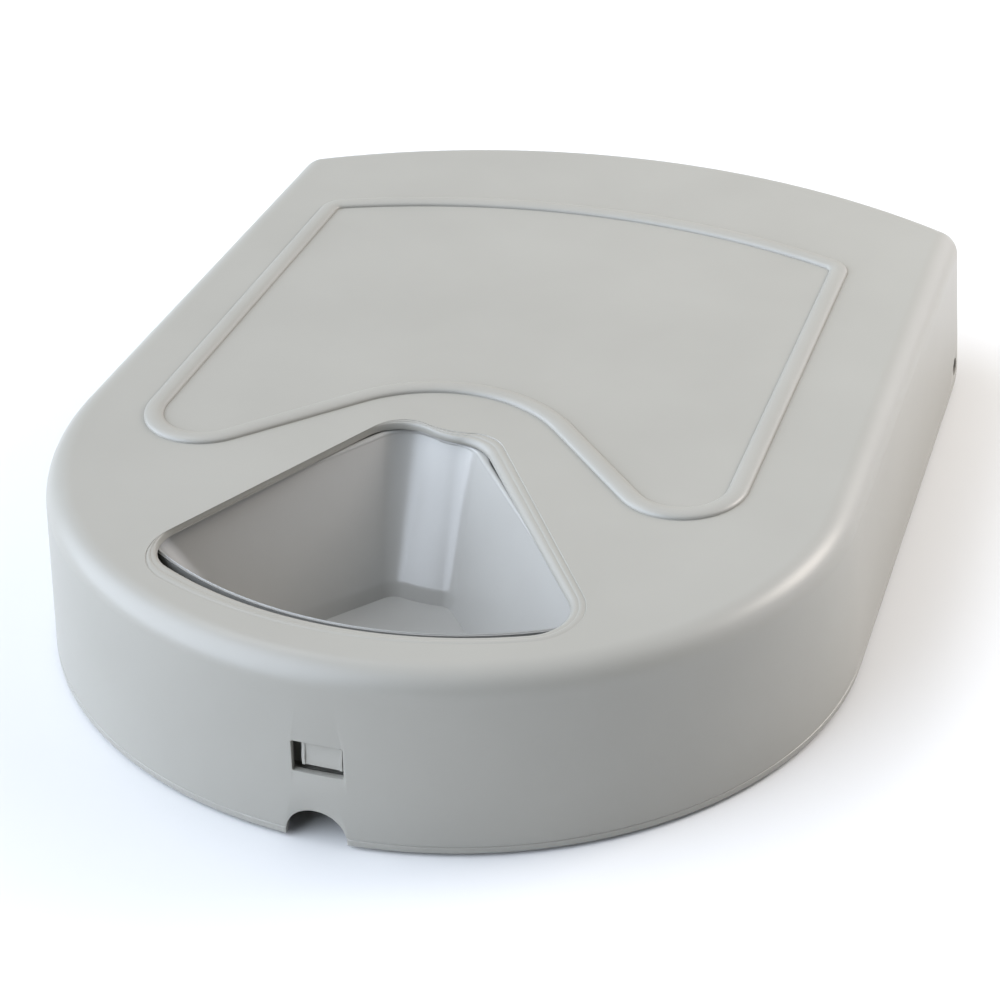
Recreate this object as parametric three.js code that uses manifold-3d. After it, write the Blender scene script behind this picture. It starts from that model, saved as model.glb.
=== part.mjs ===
// Automatic pet feeder: hinged lid over a rotating tray of food bowls, in millimetres, +Z up.
// The front is towards -Y and the origin is on the surface it stands on, under the middle of its box.
import * as THREE from 'three';
import { mergeVertices } from 'three/addons/utils/BufferGeometryUtils.js';
import Module from 'manifold-3d';

const wasm = await Module();
wasm.setup();

// Overall sizes
const bodyWidth = 300;
const frontDepth = 139;          // widest line to the front edge
const backDepth = 263.5;         // widest line to the middle of the back edge
const lidTop = 70.5;
const skirtLow = 1.5;
const backBulge = 37;
const backNarrowing = 1;
const cornerRadius = 10.5;
const lidRound = 10;
const lidDraft = 4;
const lidThick = 2.2;

// Named clearances
const lidGap = 0.8;
const slideGap = 0.35;
const runningGap = 0.05;
const seatGap = 0.3;

// Base
const wallThick = 2;
const baseLow = 2;
const baseTop = 48.5;
const backSetIn = 6;
const deckTop = 15;
const deckThick = 2;
const coverLow = 2;
const coverThick = 2.2;

// Tray
const bowlCount = 5;
const trayGap = 1.2;
const trayLow = 16.5;
const trayTop = 66.2;
const trayFloor = 2.2;
const trayWall = 2;
const trayRim = 1.5;              // round at the mouth of each bowl
const dividerThick = 3;
// Lid opening and raised bead
const openingLip = 3;            // how far the rolled edge reaches down
const beadWidth = 7.4;
const beadHeight = 1.9;

// Drive
const shaftRadius = 5;
const towerRadius = 21.5;
const towerTop = 43;
const gearThick = 2.8;
const lowGearZ = 5.2;
const highGearZ = 8.7;
const lowModule = 1;
const highModule = 0.8;
const hubTeeth = 48;
const idlerSmallTeeth = 12;
const idlerLargeTeeth = 50;
const pinionTeeth = 12;
const motorOffset = 13;

// Cells, panel
const cellRadius = 17.1;
const cellLength = 61.5;
const cellCount = 4;
const panelWidth = 150;
const panelDepth = 46;
const panelThick = 2.4;

// Where the tray's well, the hinge and the cells sit
const wellFromFront = 28.1;      // front edge of the body to the well
const hingeFromBack = 49.3;      // inner face of the lid to the hinge line
const cellFromBack = 36.7;       // inner face of the lid at the back to the near side of the cells

const halfWidth = bodyWidth / 2;
const wallTop = lidTop - lidRound;
const backLipZ = 44.5;
const leanAt = (z) => (lidDraft * (wallTop - z)) / wallTop;
const centreY = (backDepth + leanAt(backLipZ) - frontDepth - leanAt(skirtLow)) / 2;
const wellRadius = halfWidth - lidThick - lidGap - wallThick - 0.6;
const trayRadius = wellRadius - trayGap;
const hubY = wellRadius + wellFromFront - frontDepth - centreY;
const hingeY = backDepth - hingeFromBack - lidThick - centreY;
const hingeZ = 10.5;
const pinRadius = 3.6;
const earRadius = 8.5;
const cellY = backDepth - cellFromBack - lidThick - cellRadius - centreY;
const cellZ = coverLow + coverThick + cellRadius + 1.2;

// Bowl outline at its mouth and at its floor, as seen from the hub's middle. Angles are in degrees.
const bowlMouth = {
  inner: towerRadius + 4,
  outer: trayRadius - 1.4,
  left: 34,
  right: 38,
  leftGap: -9,
  rightGap: 9 + dividerThick,
  innerCorner: 14,
  outerCorner: 8,
};
const bowlFloor = {
  inner: towerRadius + 37.5,
  outer: trayRadius - 14.2,
  left: 40,
  right: 40,
  leftGap: 23.5,
  rightGap: 32,
  innerCorner: 9,
  outerCorner: 12,
};

const group = new THREE.Group();
group.name = 'automatic_pet_feeder';

const colours = {
  shell: 0xbdbdb5, tray: 0xc9cfd2, dark: 0x3a3d40, metal: 0xb8bcc0, brass: 0xb59a5a,
  gear: 0xe6e2d6, board: 0x2f6b45, rubber: 0x33363a, lcd: 0x9aa69a, cell: 0x3b5f8a, key: 0x6f8fae,
};

function finish(name, solid, colour) {
  const mesh = solid.getMesh();
  const geometry = new THREE.BufferGeometry();
  geometry.setAttribute('position', new THREE.BufferAttribute(new Float32Array(mesh.vertProperties), 3));
  geometry.setIndex(new THREE.BufferAttribute(new Uint32Array(mesh.triVerts), 1));
  geometry.computeVertexNormals();
  const part = new THREE.Mesh(geometry, new THREE.MeshStandardMaterial({ color: colours[colour] }));
  part.name = name;
  group.add(part);
  return part;
}

function toSolid(geometry) {
  const plain = geometry.index ? geometry.clone() : geometry;
  plain.deleteAttribute('normal');
  plain.deleteAttribute('uv');
  const merged = mergeVertices(plain, 1e-4);
  return new wasm.Manifold(new wasm.Mesh({
    numProp: 3,
    vertProperties: new Float32Array(merged.attributes.position.array),
    triVerts: new Uint32Array(merged.index.array),
  }));
}

function cylinder(x, y, low, high, radius, topRadius = radius, sides = 28) {
  const shape = new THREE.CylinderGeometry(topRadius, radius, high - low, sides);
  shape.rotateX(Math.PI / 2);
  shape.translate(x, y, (low + high) / 2);
  return toSolid(shape);
}

function rod(axis, from, to, centre, radius, sides = 24) {
  const shape = new THREE.CylinderGeometry(radius, radius, to - from, sides);
  const middle = (from + to) / 2;
  if (axis === 'x') {
    shape.rotateZ(Math.PI / 2);
    shape.translate(middle, centre[0], centre[1]);
  } else {
    shape.translate(centre[0], middle, centre[1]);
  }
  return toSolid(shape);
}

function box(x, y, low, high, width, depth) {
  const shape = new THREE.BoxGeometry(width, depth, high - low);
  shape.translate(x, y, (low + high) / 2);
  return toSolid(shape);
}

function roundedRectangle(width, depth, radius) {
  const shape = new THREE.Shape();
  const w = width / 2 - radius;
  const d = depth / 2 - radius;
  shape.absarc(w, -d, radius, -Math.PI / 2, 0);
  shape.absarc(w, d, radius, 0, Math.PI / 2);
  shape.absarc(-w, d, radius, Math.PI / 2, Math.PI);
  shape.absarc(-w, -d, radius, Math.PI, 1.5 * Math.PI);
  shape.closePath();
  return shape;
}

function extrude(points, low, high, bevel = 0, segments = 3) {
  const shape = Array.isArray(points) ? new THREE.Shape(points) : points;
  const geometry = new THREE.ExtrudeGeometry(shape, {
    depth: high - low, bevelEnabled: bevel > 0, bevelThickness: bevel, bevelSize: bevel,
    bevelSegments: segments, curveSegments: 2,
  });
  geometry.translate(0, 0, low);
  return geometry;
}

function plate(x, y, low, high, width, depth, radius) {
  const geometry = extrude(roundedRectangle(width, depth, radius), low, high);
  geometry.translate(x, y, 0);
  return toSolid(geometry);
}

function arcPoints(points, x, y, radius, from, to, count) {
  for (let i = 0; i <= count; i += 1) {
    const angle = from + ((to - from) * i) / count;
    points.push(new THREE.Vector2(x + radius * Math.cos(angle), y + radius * Math.sin(angle)));
  }
}

// Plan of the body: elliptical front, straight sides and a bulged back with rounded corners.
function bodyOutline(grow, setIn = 0, count = 40) {
  const back = backDepth - setIn;
  const cornerX = halfWidth - backNarrowing - cornerRadius;
  const cornerY = back - backBulge - cornerRadius;
  const rise = back - cornerY;
  const arcRadius = (cornerX ** 2 + rise ** 2 - cornerRadius ** 2) / (2 * (rise - cornerRadius));
  const arcY = back - arcRadius;
  const turn = Math.atan2(cornerY - arcY, cornerX);
  const points = [];
  for (let i = 0; i <= count; i += 1) {
    const angle = Math.PI + (Math.PI * i) / count;
    points.push(new THREE.Vector2((halfWidth + grow) * Math.cos(angle), (frontDepth + grow) * Math.sin(angle)));
  }
  arcPoints(points, cornerX, cornerY, cornerRadius + grow, 0, turn, 5);
  arcPoints(points, 0, arcY, arcRadius + grow, turn + 0.02, Math.PI - turn - 0.02, 14);
  arcPoints(points, -cornerX, cornerY, cornerRadius + grow, Math.PI - turn, Math.PI, 5);
  for (const point of points) {
    point.y -= centreY;
  }
  return points;
}

// The wall leans outwards towards its lower edge.
function flare(geometry) {
  const position = geometry.attributes.position;
  for (let i = 0; i < position.count; i += 1) {
    const lean = Math.max(0, (wallTop - position.getZ(i)) / wallTop) * lidDraft;
    const y = position.getY(i) + centreY;
    const reach = y < 0 ? frontDepth : backDepth;
    position.setX(i, position.getX(i) * (1 + lean / halfWidth));
    position.setY(i, y * (1 + lean / reach) - centreY);
  }
  return geometry;
}

// Wedge between two arcs and two sides. Angles are measured from -Y; a gap moves a side inwards.
function wedgeOutline({ inner, outer, left, right, leftGap, rightGap, innerCorner, outerCorner, count = 10 }) {
  const side = (angle, gap) => {
    const at = angle - Math.asin((gap + outerCorner) / (outer - outerCorner));
    const near = angle - Math.asin((gap + innerCorner) / (inner + innerCorner));
    const points = [];
    const far = outer - outerCorner;
    const close = inner + innerCorner;
    arcPoints(points, far * Math.cos(at), far * Math.sin(at), outerCorner, at, angle + Math.PI / 2, 5);
    arcPoints(points, close * Math.cos(near), close * Math.sin(near), innerCorner,
      angle + Math.PI / 2, near + Math.PI, 4);
    return { points, at, near };
  };
  const a = side(right, rightGap);
  const b = side(left, leftGap);
  const points = [];
  arcPoints(points, 0, 0, outer, -b.at, a.at, count);
  points.push(...a.points.slice(1));
  const hub = [];
  arcPoints(hub, 0, 0, inner, a.near, -b.near, 6);
  points.push(...hub.slice(1, -1));
  points.push(...b.points.slice(1).reverse().map((p) => new THREE.Vector2(p.x, -p.y)));
  return points.map((p) => new THREE.Vector2(p.y, -p.x));
}

function moved(points, x, y, turn = 0) {
  const c = Math.cos(turn);
  const s = Math.sin(turn);
  return points.map((p) => new THREE.Vector2(x + c * p.x - s * p.y, y + s * p.x + c * p.y));
}

const degree = Math.PI / 180;

// Opening in the lid over the front bowl: a crease outside and a rolled edge inside
const openingCrease = {
  x: -2, y: 44.8, inner: 34.5, outer: 164.6, left: 27.4, right: 34.1, leftGap: -9, rightGap: 5.4,
  innerCorner: 14.2, outerCorner: 19.8,
};
const openingEdge = {
  x: 0.8, y: 38.3, inner: 31.5, outer: 152.3, left: 27.5, right: 34.8, leftGap: -14.6, rightGap: 10.8,
  innerCorner: 17, outerCorner: 15.5,
};

function mixed(from, to, share) {
  const result = {};
  for (const key of Object.keys(from)) {
    result[key] = from[key] + (to[key] - from[key]) * share;
  }
  return result;
}

function grownWedge(size, inset, count) {
  return wedgeOutline({
    inner: size.inner + inset, outer: size.outer - inset, left: size.left * degree, right: size.right * degree,
    leftGap: size.leftGap + inset, rightGap: size.rightGap + inset,
    innerCorner: size.innerCorner - inset, outerCorner: size.outerCorner - inset, count,
  });
}

function openingOutline(share) {
  const size = mixed(openingCrease, openingEdge, share);
  return moved(grownWedge(size, 0, 12), size.x, size.y - centreY);
}

// Raised bead round the rear of the lid: two front lobes and a hump round the opening
const beadX = -5;
const lobeX = 91.7;
const lobeY = -0.8;
const lobeRadius = 20.5;
const humpY = -15.8;
const humpRadius = 56;
const beadBack = 197.7;
const beadBackCorner = 170;
function beadOutline(out) {
  const lobe = lobeRadius + out;
  const hump = humpRadius - out;
  const span = Math.hypot(lobeX, lobeY - humpY);
  const slope = Math.atan2(lobeY - humpY, lobeX);
  const turn = slope + Math.acos((lobe + hump) / span);
  const side = lobeX + lobe;
  const corner = 7 + out;
  const cornerX = side - corner;
  const cornerY = beadBackCorner;
  const back = beadBack + out;
  const rise = back - cornerY;
  const arcRadius = (cornerX ** 2 + rise ** 2 - corner ** 2) / (2 * (rise - corner));
  const arcY = back - arcRadius;
  const cut = Math.atan2(cornerY - arcY, cornerX);
  const points = [];
  arcPoints(points, 0, humpY, hump, Math.PI - turn, turn, 14);
  arcPoints(points, lobeX, lobeY, lobe, turn + Math.PI, 2 * Math.PI, 9);
  arcPoints(points, cornerX, cornerY, corner, 0, cut, 5);
  arcPoints(points, 0, arcY, arcRadius, cut + 0.02, Math.PI - cut - 0.02, 12);
  arcPoints(points, -cornerX, cornerY, corner, Math.PI - cut, Math.PI, 5);
  arcPoints(points, -lobeX, lobeY, lobe, -Math.PI, -turn, 9);
  return moved(points, beadX, -centreY);
}

const far = 500;
const skirtFrontY = -frontDepth - lidDraft - centreY;
const latchX = 1.8;
const latchZ = 34.4;
const latchWidth = 18.2;
const latchHeight = 12;
const notchRadius = 11;
const notchZ = skirtLow + 1;
const pocketWidth = 30;

function makeLid() {
  const outer = toSolid(flare(extrude(bodyOutline(-lidRound), skirtLow, wallTop, lidRound, 4)));
  const innerRound = lidRound - lidThick;
  const inner = toSolid(flare(extrude(bodyOutline(-lidRound), -far / 10, wallTop, innerRound, 4)));
  let lid = outer.subtract(inner).subtract(box(0, 0, -far, skirtLow, far, far * 2));
  lid = lid.add(toSolid(extrude(openingOutline(0.7), lidTop - openingLip, lidTop - 0.5)));
  lid = lid.subtract(toSolid(extrude(openingOutline(1), 0, lidTop + 5)));
  const ring = new THREE.Shape(beadOutline(beadWidth / 2 - beadHeight));
  ring.holes.push(new THREE.Path(beadOutline(-beadWidth / 2 + beadHeight)));
  const bead = toSolid(extrude(ring, lidTop - 1.5, lidTop, beadHeight, 2));
  lid = lid.add(bead.subtract(box(0, 0, 0, lidTop - lidThick + 0.5, far, far * 2)));
  // Latch window, finger notch, and the back cut away under its lip
  lid = lid.subtract(box(latchX, skirtFrontY + 10, latchZ - latchHeight / 2, latchZ + latchHeight / 2, latchWidth, 40));
  lid = lid.subtract(rod('y', skirtFrontY - 10, skirtFrontY + 30, [0, notchZ], notchRadius));
  const back = box(0, hingeY + 100, -10, backLipZ, far, 200);
  const ears = rod('x', -far / 2, far / 2, [hingeY, hingeZ], earRadius, 32);
  const upright = box(0, hingeY + 4.5 - 5, hingeZ, 44.6, far, earRadius + 4.5 + 5 - 4);
  lid = lid.subtract(back.subtract(ears).subtract(upright));
  for (const side of [-1, 1]) {
    const from = side > 0 ? halfWidth - 12 : -halfWidth - 12;
    lid = lid.subtract(rod('x', from, from + 24, [hingeY, hingeZ], pinRadius + seatGap));
  }
  return lid;
}
finish('lid', makeLid(), 'shell');

// Base: outer wall with a roof, a round well for the tray and an open underside
const coverScrews = [[-118, -75], [118, -75], [-132, 70], [132, 70], [-60, 113], [60, 113]];
const motorX = motorOffset;
const motorY = hubY;
const lowDistance = (lowModule * (hubTeeth + idlerSmallTeeth)) / 2;
const highDistance = (highModule * (idlerLargeTeeth + pinionTeeth)) / 2;
const idlerDX = (lowDistance ** 2 - highDistance ** 2 + motorOffset ** 2) / (2 * motorOffset);
const idlerX = idlerDX;
const idlerY = hubY - Math.sqrt(lowDistance ** 2 - idlerDX ** 2);
const bayHalf = (cellCount * cellLength) / 2 + 3;
const bayFront = cellY - cellRadius - 2;
const bayBack = cellY + cellRadius + 2;
const bayTop = cellZ + cellRadius + 1.5;
const panelScrewX = 67;

function makeBase() {
  const edge = -(lidThick + lidGap);
  const outline = bodyOutline(edge, backSetIn);
  const under = deckTop - deckThick;
  let base = toSolid(extrude(outline, baseLow, baseTop));
  const inside = toSolid(extrude(bodyOutline(edge - wallThick, backSetIn), -5, baseTop - wallThick));
  base = base.subtract(inside.subtract(cylinder(0, hubY, -9, 60, wellRadius + wallThick, undefined, 96)));
  base = base.subtract(cylinder(0, hubY, deckTop, 60, wellRadius, undefined, 96));
  base = base.subtract(cylinder(0, hubY, -9, under, wellRadius - 1, undefined, 96)
    .subtract(box(0, skirtFrontY + 14, -9, 60, pocketWidth + 2 * wallThick, 28 + 2 * wallThick)));
  const plateRoom = extrude(bodyOutline(edge - wallThick, backSetIn), -5, coverLow + coverThick + seatGap);
  base = base.subtract(toSolid(plateRoom));
  // Finger pocket behind the notch
  base = base.subtract(box(0, skirtFrontY + 12, -9, 18, pocketWidth, 28));
  // Drive tower with a shaft hole in its roof
  const tower = cylinder(0, hubY, under, towerTop, towerRadius)
    .subtract(cylinder(0, hubY, -9, towerTop - 3, towerRadius - 2));
  base = base.add(tower).subtract(cylinder(0, hubY, -9, towerTop - 3, towerRadius - 2));
  const shelf = cylinder(0, hubY, under, deckTop, towerRadius - 1);
  base = base.add(shelf.subtract(cylinder(0, hubY, 0, 60, shaftRadius + 1))
    .subtract(cylinder(motorX, motorY, 0, 60, 2.5)));
  base = base.subtract(cylinder(0, hubY, towerTop - 5, 60, shaftRadius + 2.52, undefined, 36));
  base = base.subtract(cylinder(idlerX, idlerY, 0, 60, 1.52, undefined, 24));
  // Posts for the cover screws
  for (const [x, y] of coverScrews) {
    const top = Math.hypot(x, y - hubY) < wellRadius ? under + 0.5 : baseTop - 1;
    base = base.add(cylinder(x, y, coverLow + coverThick + seatGap, top, 4));
    base = base.subtract(cylinder(x, y, -1, coverLow + coverThick + 8, 1.45, undefined, 16));
  }
  // Cell bay: ceiling and end walls
  const ceiling = box(0, cellY, bayTop, bayTop + 2, 2 * bayHalf + 4, bayBack - bayFront + 4);
  let bay = ceiling.subtract(cylinder(0, hubY, 0, 60, wellRadius + 0.5, undefined, 96));
  for (const side of [-1, 1]) {
    bay = bay.add(box(side * (bayHalf + 1), cellY, coverLow + coverThick + seatGap, bayTop + 1, 2,
      bayBack - bayFront));
  }
  base = base.add(bay.intersect(toSolid(extrude(bodyOutline(edge - 0.5, backSetIn), 0, 60))));
  // Panel opening in the roof, and the slot for the door under the back wall
  base = base.subtract(plate(0, cellY, bayTop + 2.1, 60, panelWidth - 26, panelDepth - 8, 4));
  for (const x of [-panelScrewX, panelScrewX]) {
    base = base.subtract(cylinder(x, cellY, bayTop + 2.1, 60, 1.55, undefined, 16));
  }
  base = base.subtract(plate(0, cellY, baseTop - 0.6, 60, panelWidth + 0.6, panelDepth + 0.6, 5));
  base = base.subtract(box(0, cellY + 60, -9, coverLow + coverThick + seatGap, 2 * bayHalf + 0.7, 120));
  // Latch opening in the front wall
  base = base.subtract(box(latchX, skirtFrontY + 8, latchZ - 8, latchZ + 8.5, latchWidth + 5, 20));
  // Hinge bosses
  for (const side of [-1, 1]) {
    const from = side > 0 ? halfWidth - 18 : -halfWidth + 4;
    base = base.subtract(rod('x', from - 6, from + 20, [hingeY, hingeZ], pinRadius + 0.02));
  }
  return base;
}
finish('base', makeBase(), 'shell');

// Hinge pins pressed into the base and reaching through the lid
for (const [name, side] of [['hinge_pin_left', -1], ['hinge_pin_right', 1]]) {
  const inside = halfWidth - 12;
  const outside = halfWidth + 1.6;
  const pin = rod('x', side > 0 ? inside : -outside, side > 0 ? outside : -inside, [hingeY, hingeZ], pinRadius);
  const head = rod('x', side > 0 ? inside - 2 : -inside, side > 0 ? inside : -inside + 2, [hingeY, hingeZ], pinRadius + 0.7);
  finish(name, pin.add(head), 'metal');
}

// Bottom cover with room for the cell door
const doorFront = bayFront - 2;
function makeCover() {
  const edge = -(lidThick + lidGap + wallThick + seatGap);
  let cover = toSolid(extrude(bodyOutline(edge, backSetIn), coverLow, coverLow + coverThick));
  cover = cover.subtract(box(0, skirtFrontY + 14, 0, 9, pocketWidth + 2 * (wallThick + seatGap),
    28 + 2 * (wallThick + seatGap)));
  cover = cover.subtract(box(0, doorFront + 60 - slideGap, 0, 9, 2 * bayHalf + 0.7, 120));
  for (const [x, y] of coverScrews) {
    cover = cover.subtract(cylinder(x, y, 0, 9, 1.8, undefined, 16));
    cover = cover.subtract(cylinder(x, y, 0, coverLow + 1.1, 3.4, undefined, 20));
  }
  return cover;
}
finish('bottom_cover', makeCover(), 'shell');

coverScrews.forEach(([x, y], i) => {
  const head = cylinder(x, y, coverLow + 0.1, coverLow + 1.0, 3, undefined, 20);
  const slot = box(x, y, 0, coverLow + 0.6, 3.6, 0.8).add(box(x, y, 0, coverLow + 0.6, 0.8, 3.6));
  const stem = cylinder(x, y, coverLow + 0.8, coverLow + coverThick + 7, 1.4, undefined, 16);
  finish(`cover_screw_${i + 1}`, head.subtract(slot).add(stem), 'metal');
});

const footSpots = [[-112, -90], [112, -90], [-134, 110], [134, 110]];
footSpots.forEach(([x, y], i) => {
  const foot = new THREE.LatheGeometry([
    new THREE.Vector2(0, 0), new THREE.Vector2(6.2, 0), new THREE.Vector2(7.4, 0.8),
    new THREE.Vector2(7.4, coverLow - 0.02), new THREE.Vector2(0, coverLow - 0.02),
  ], 24);
  foot.rotateX(Math.PI / 2);
  foot.translate(x, y, 0);
  finish(`foot_${i + 1}`, toSolid(foot), 'rubber');
});

// Door that slides out at the back to reach the cells
function makeDoor() {
  const edge = -(lidThick + lidGap);
  let door = toSolid(extrude(bodyOutline(edge, backSetIn), coverLow, coverLow + coverThick));
  door = door.intersect(box(0, doorFront + 60, 0, 9, 2 * bayHalf, 120));
  for (let i = 0; i < 5; i += 1) {
    door = door.subtract(box(0, bayBack + 4 + i * 2.4, 0, coverLow + 0.6, 40, 1));
  }
  return door;
}
finish('battery_door', makeDoor(), 'shell');

// Round cells in a row, end to end, with a plate and a spring at the ends
for (let i = 0; i < cellCount; i += 1) {
  const from = -bayHalf + 3 + i * cellLength;
  const can = rod('x', from + 0.15, from + cellLength - 2.2, [cellY, cellZ], cellRadius - 0.4);
  const cap = rod('x', from + cellLength - 2.2, from + cellLength - 0.15, [cellY, cellZ], 4.5);
  finish(`battery_cell_${i + 1}`, can.add(cap), 'cell');
}
finish('contact_plate', box(bayHalf - 0.9, cellY, cellZ - 9, cellZ + 9, 0.8, 16), 'metal');
const contactCoil = rod('x', -bayHalf + 1, -bayHalf + 3, [cellY, cellZ], 6.5)
  .subtract(rod('x', -bayHalf + 0.9, -bayHalf + 3.1, [cellY, cellZ], 5.2));
finish('contact_spring', box(-bayHalf + 0.7, cellY, cellZ - 9, cellZ + 9, 0.8, 16).add(contactCoil), 'metal');

// Closed solid through outlines of the same count, each at its own height
function loft(rings) {
  const positions = [];
  const index = [];
  const count = rings[0].points.length;
  const flip = THREE.ShapeUtils.isClockWise(rings[0].points);
  for (const { points, z } of rings) {
    for (const point of points) {
      positions.push(point.x, point.y, z);
    }
  }
  const face = (a, b, c) => (flip ? index.push(a, c, b) : index.push(a, b, c));
  for (let k = 0; k + 1 < rings.length; k += 1) {
    for (let i = 0; i < count; i += 1) {
      const j = (i + 1) % count;
      const low = k * count;
      const high = low + count;
      face(low + i, low + j, high + j);
      face(low + i, high + j, high + i);
    }
  }
  const last = (rings.length - 1) * count;
  for (const [a, b, c] of THREE.ShapeUtils.triangulateShape([...rings[0].points], [])) {
    index.push(a, c, b);
  }
  for (const [a, b, c] of THREE.ShapeUtils.triangulateShape([...rings[rings.length - 1].points], [])) {
    index.push(last + a, last + b, last + c);
  }
  const geometry = new THREE.BufferGeometry();
  geometry.setAttribute('position', new THREE.BufferAttribute(new Float32Array(positions), 3));
  geometry.setIndex(index);
  return geometry;
}

// Tray: a thin moulding with equal tapered bowls round a hollow hub
const bowlTurn = (2 * Math.PI) / bowlCount;
function bowlSolid(rings, turn) {
  const shape = loft(rings.map(([size, inset, z]) => ({ points: grownWedge(size, inset, 10), z })));
  shape.rotateZ(turn);
  shape.translate(0, hubY, 0);
  return toSolid(shape);
}

function makeTray() {
  const floor = trayLow + trayFloor;
  const knuckle = 3;
  const hubShell = towerRadius + 1.2;
  let tray = cylinder(0, hubY, trayTop - trayFloor, trayTop, trayRadius, undefined, 90);
  tray = tray.add(cylinder(0, hubY, trayLow, trayTop, trayRadius - 1.2, trayRadius, 90)
    .subtract(cylinder(0, hubY, trayLow - 1, trayTop - 1, trayRadius - 1.2 - trayWall, trayRadius - trayWall, 90)));
  tray = tray.add(cylinder(0, hubY, trayLow, trayTop - 0.5, hubShell + trayWall));
  const inside = cylinder(0, hubY, trayLow, trayTop - 0.5, trayRadius - 1.3, trayRadius - 0.2, 90);
  for (let i = 0; i < bowlCount; i += 1) {
    const outer = bowlSolid([
      [bowlFloor, 1, trayLow], [bowlFloor, -trayWall, floor + knuckle], [bowlMouth, -trayWall, trayTop - 0.5],
    ], i * bowlTurn);
    tray = tray.add(outer.intersect(inside));
  }
  for (let i = 0; i < bowlCount; i += 1) {
    tray = tray.subtract(bowlSolid([
      [bowlFloor, knuckle, floor], [bowlFloor, knuckle * 0.3, floor + knuckle * 0.3],
      [bowlFloor, 0, floor + knuckle], [bowlMouth, 0, trayTop - trayRim],
      [bowlMouth, -trayRim * 0.3, trayTop - trayRim * 0.3], [bowlMouth, -trayRim, trayTop],
      [bowlMouth, -trayRim, trayTop + 6],
    ], i * bowlTurn));
  }
  const hollow = cylinder(0, hubY, 0, trayTop - 8, hubShell);
  const socket = cylinder(0, hubY, 0, trayTop - 3, 12.3, undefined, 6);
  return tray.subtract(hollow).subtract(socket);
}
finish('food_tray', makeTray(), 'tray');

// Drive: shaft and six-sided head under the tray, with the gear below the deck
function gear(teeth, module, low, bore, rimHoles = 0) {
  const points = [];
  const pitch = (teeth * module) / 2;
  const step = (2 * Math.PI) / teeth;
  const play = 0.045 * module / pitch;
  for (let i = 0; i < teeth; i += 1) {
    const at = i * step;
    const profile = [
      [pitch - 1.15 * module, -0.34], [pitch, -0.24], [pitch + 0.85 * module, -0.11],
      [pitch + 0.85 * module, 0.11], [pitch, 0.24], [pitch - 1.15 * module, 0.34],
    ];
    for (const [radius, part] of profile) {
      const angle = at + part * step - Math.sign(part) * play;
      points.push(new THREE.Vector2(radius * Math.cos(angle), radius * Math.sin(angle)));
    }
  }
  const shape = new THREE.Shape(points);
  const hole = new THREE.Path();
  hole.absarc(0, 0, bore, 0, 2 * Math.PI, true);
  shape.holes.push(hole);
  for (let i = 0; i < rimHoles; i += 1) {
    const cut = new THREE.Path();
    const angle = (2 * Math.PI * i) / rimHoles;
    cut.absarc(0.62 * pitch * Math.cos(angle), 0.62 * pitch * Math.sin(angle), 0.17 * pitch, 0, 2 * Math.PI, true);
    shape.holes.push(cut);
  }
  const geometry = new THREE.ExtrudeGeometry(shape, { depth: gearThick, bevelEnabled: false, curveSegments: 6 });
  geometry.translate(0, 0, low);
  return geometry;
}

function placed(geometry, x, y, turn) {
  geometry.rotateZ(turn);
  geometry.translate(x, y, 0);
  return toSolid(geometry);
}

const headLow = towerTop + 0.6;
const head = cylinder(0, hubY, headLow, trayTop - 3 - seatGap, 12, undefined, 6);
const collar = cylinder(0, hubY, towerTop + 0.15, headLow + 0.5, 9);
const shaft = cylinder(0, hubY, lowGearZ - 0.4, headLow + 1, shaftRadius, undefined, 36);
finish('drive_hub', head.add(collar).add(shaft), 'gear');
const bushing = cylinder(0, hubY, towerTop - 3, towerTop, shaftRadius + 2.5, undefined, 36)
  .subtract(cylinder(0, hubY, 0, 60, shaftRadius + runningGap, undefined, 36));
finish('hub_bushing', bushing, 'brass');

const idlerAngle = Math.atan2(idlerY - hubY, idlerX);
const pinionAngle = Math.atan2(idlerY - motorY, idlerX - motorX);
const hubGear = placed(gear(hubTeeth, lowModule, lowGearZ, shaftRadius + seatGap, 6), 0, hubY, idlerAngle);
finish('hub_gear', hubGear, 'gear');
// The small idler gear has a gap facing the hub gear; its large gear is clocked to the pinion.
const smallTurn = idlerAngle + Math.PI + Math.PI / idlerSmallTeeth;
const small = placed(gear(idlerSmallTeeth, lowModule, lowGearZ, 1.6), idlerX, idlerY, smallTurn);
const large = placed(gear(idlerLargeTeeth, highModule, highGearZ, 1.6, 5), idlerX, idlerY,
  pinionAngle + Math.PI);
const neck = cylinder(idlerX, idlerY, lowGearZ + gearThick - 0.2, highGearZ + 0.2, 4)
  .subtract(cylinder(idlerX, idlerY, 0, 60, 1.6, undefined, 24));
finish('idler_gear', small.add(large).add(neck), 'gear');
const axle = cylinder(idlerX, idlerY, lowGearZ - 0.5, deckTop, 1.5, undefined, 24);
const clip = cylinder(idlerX, idlerY, lowGearZ - 0.6, lowGearZ - 0.2, 2.6);
finish('idler_axle', axle.add(clip), 'metal');
const pinionTurn = pinionAngle + Math.PI / pinionTeeth;
const pinion = placed(gear(pinionTeeth, highModule, highGearZ, 1.7), motorX, motorY, pinionTurn);
finish('motor_pinion', pinion, 'brass');
const motorBody = plate(motorX, motorY, deckTop + 0.1, deckTop + 22, 9, 12, 1.5);
const output = cylinder(motorX, motorY, highGearZ - 0.3, deckTop + 0.5, 1.5, undefined, 24);
const tail = cylinder(motorX, motorY, deckTop + 21.8, deckTop + 24, 2.2);
finish('gear_motor', motorBody.add(output).add(tail), 'metal');
finish('index_sensor', plate(-8, hubY + 40, lowGearZ, deckTop - deckThick - 0.05, 9, 6, 1)
  .add(box(-8, hubY + 35.8, lowGearZ + 5, lowGearZ + 5.6, 3, 4)), 'dark');

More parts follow.
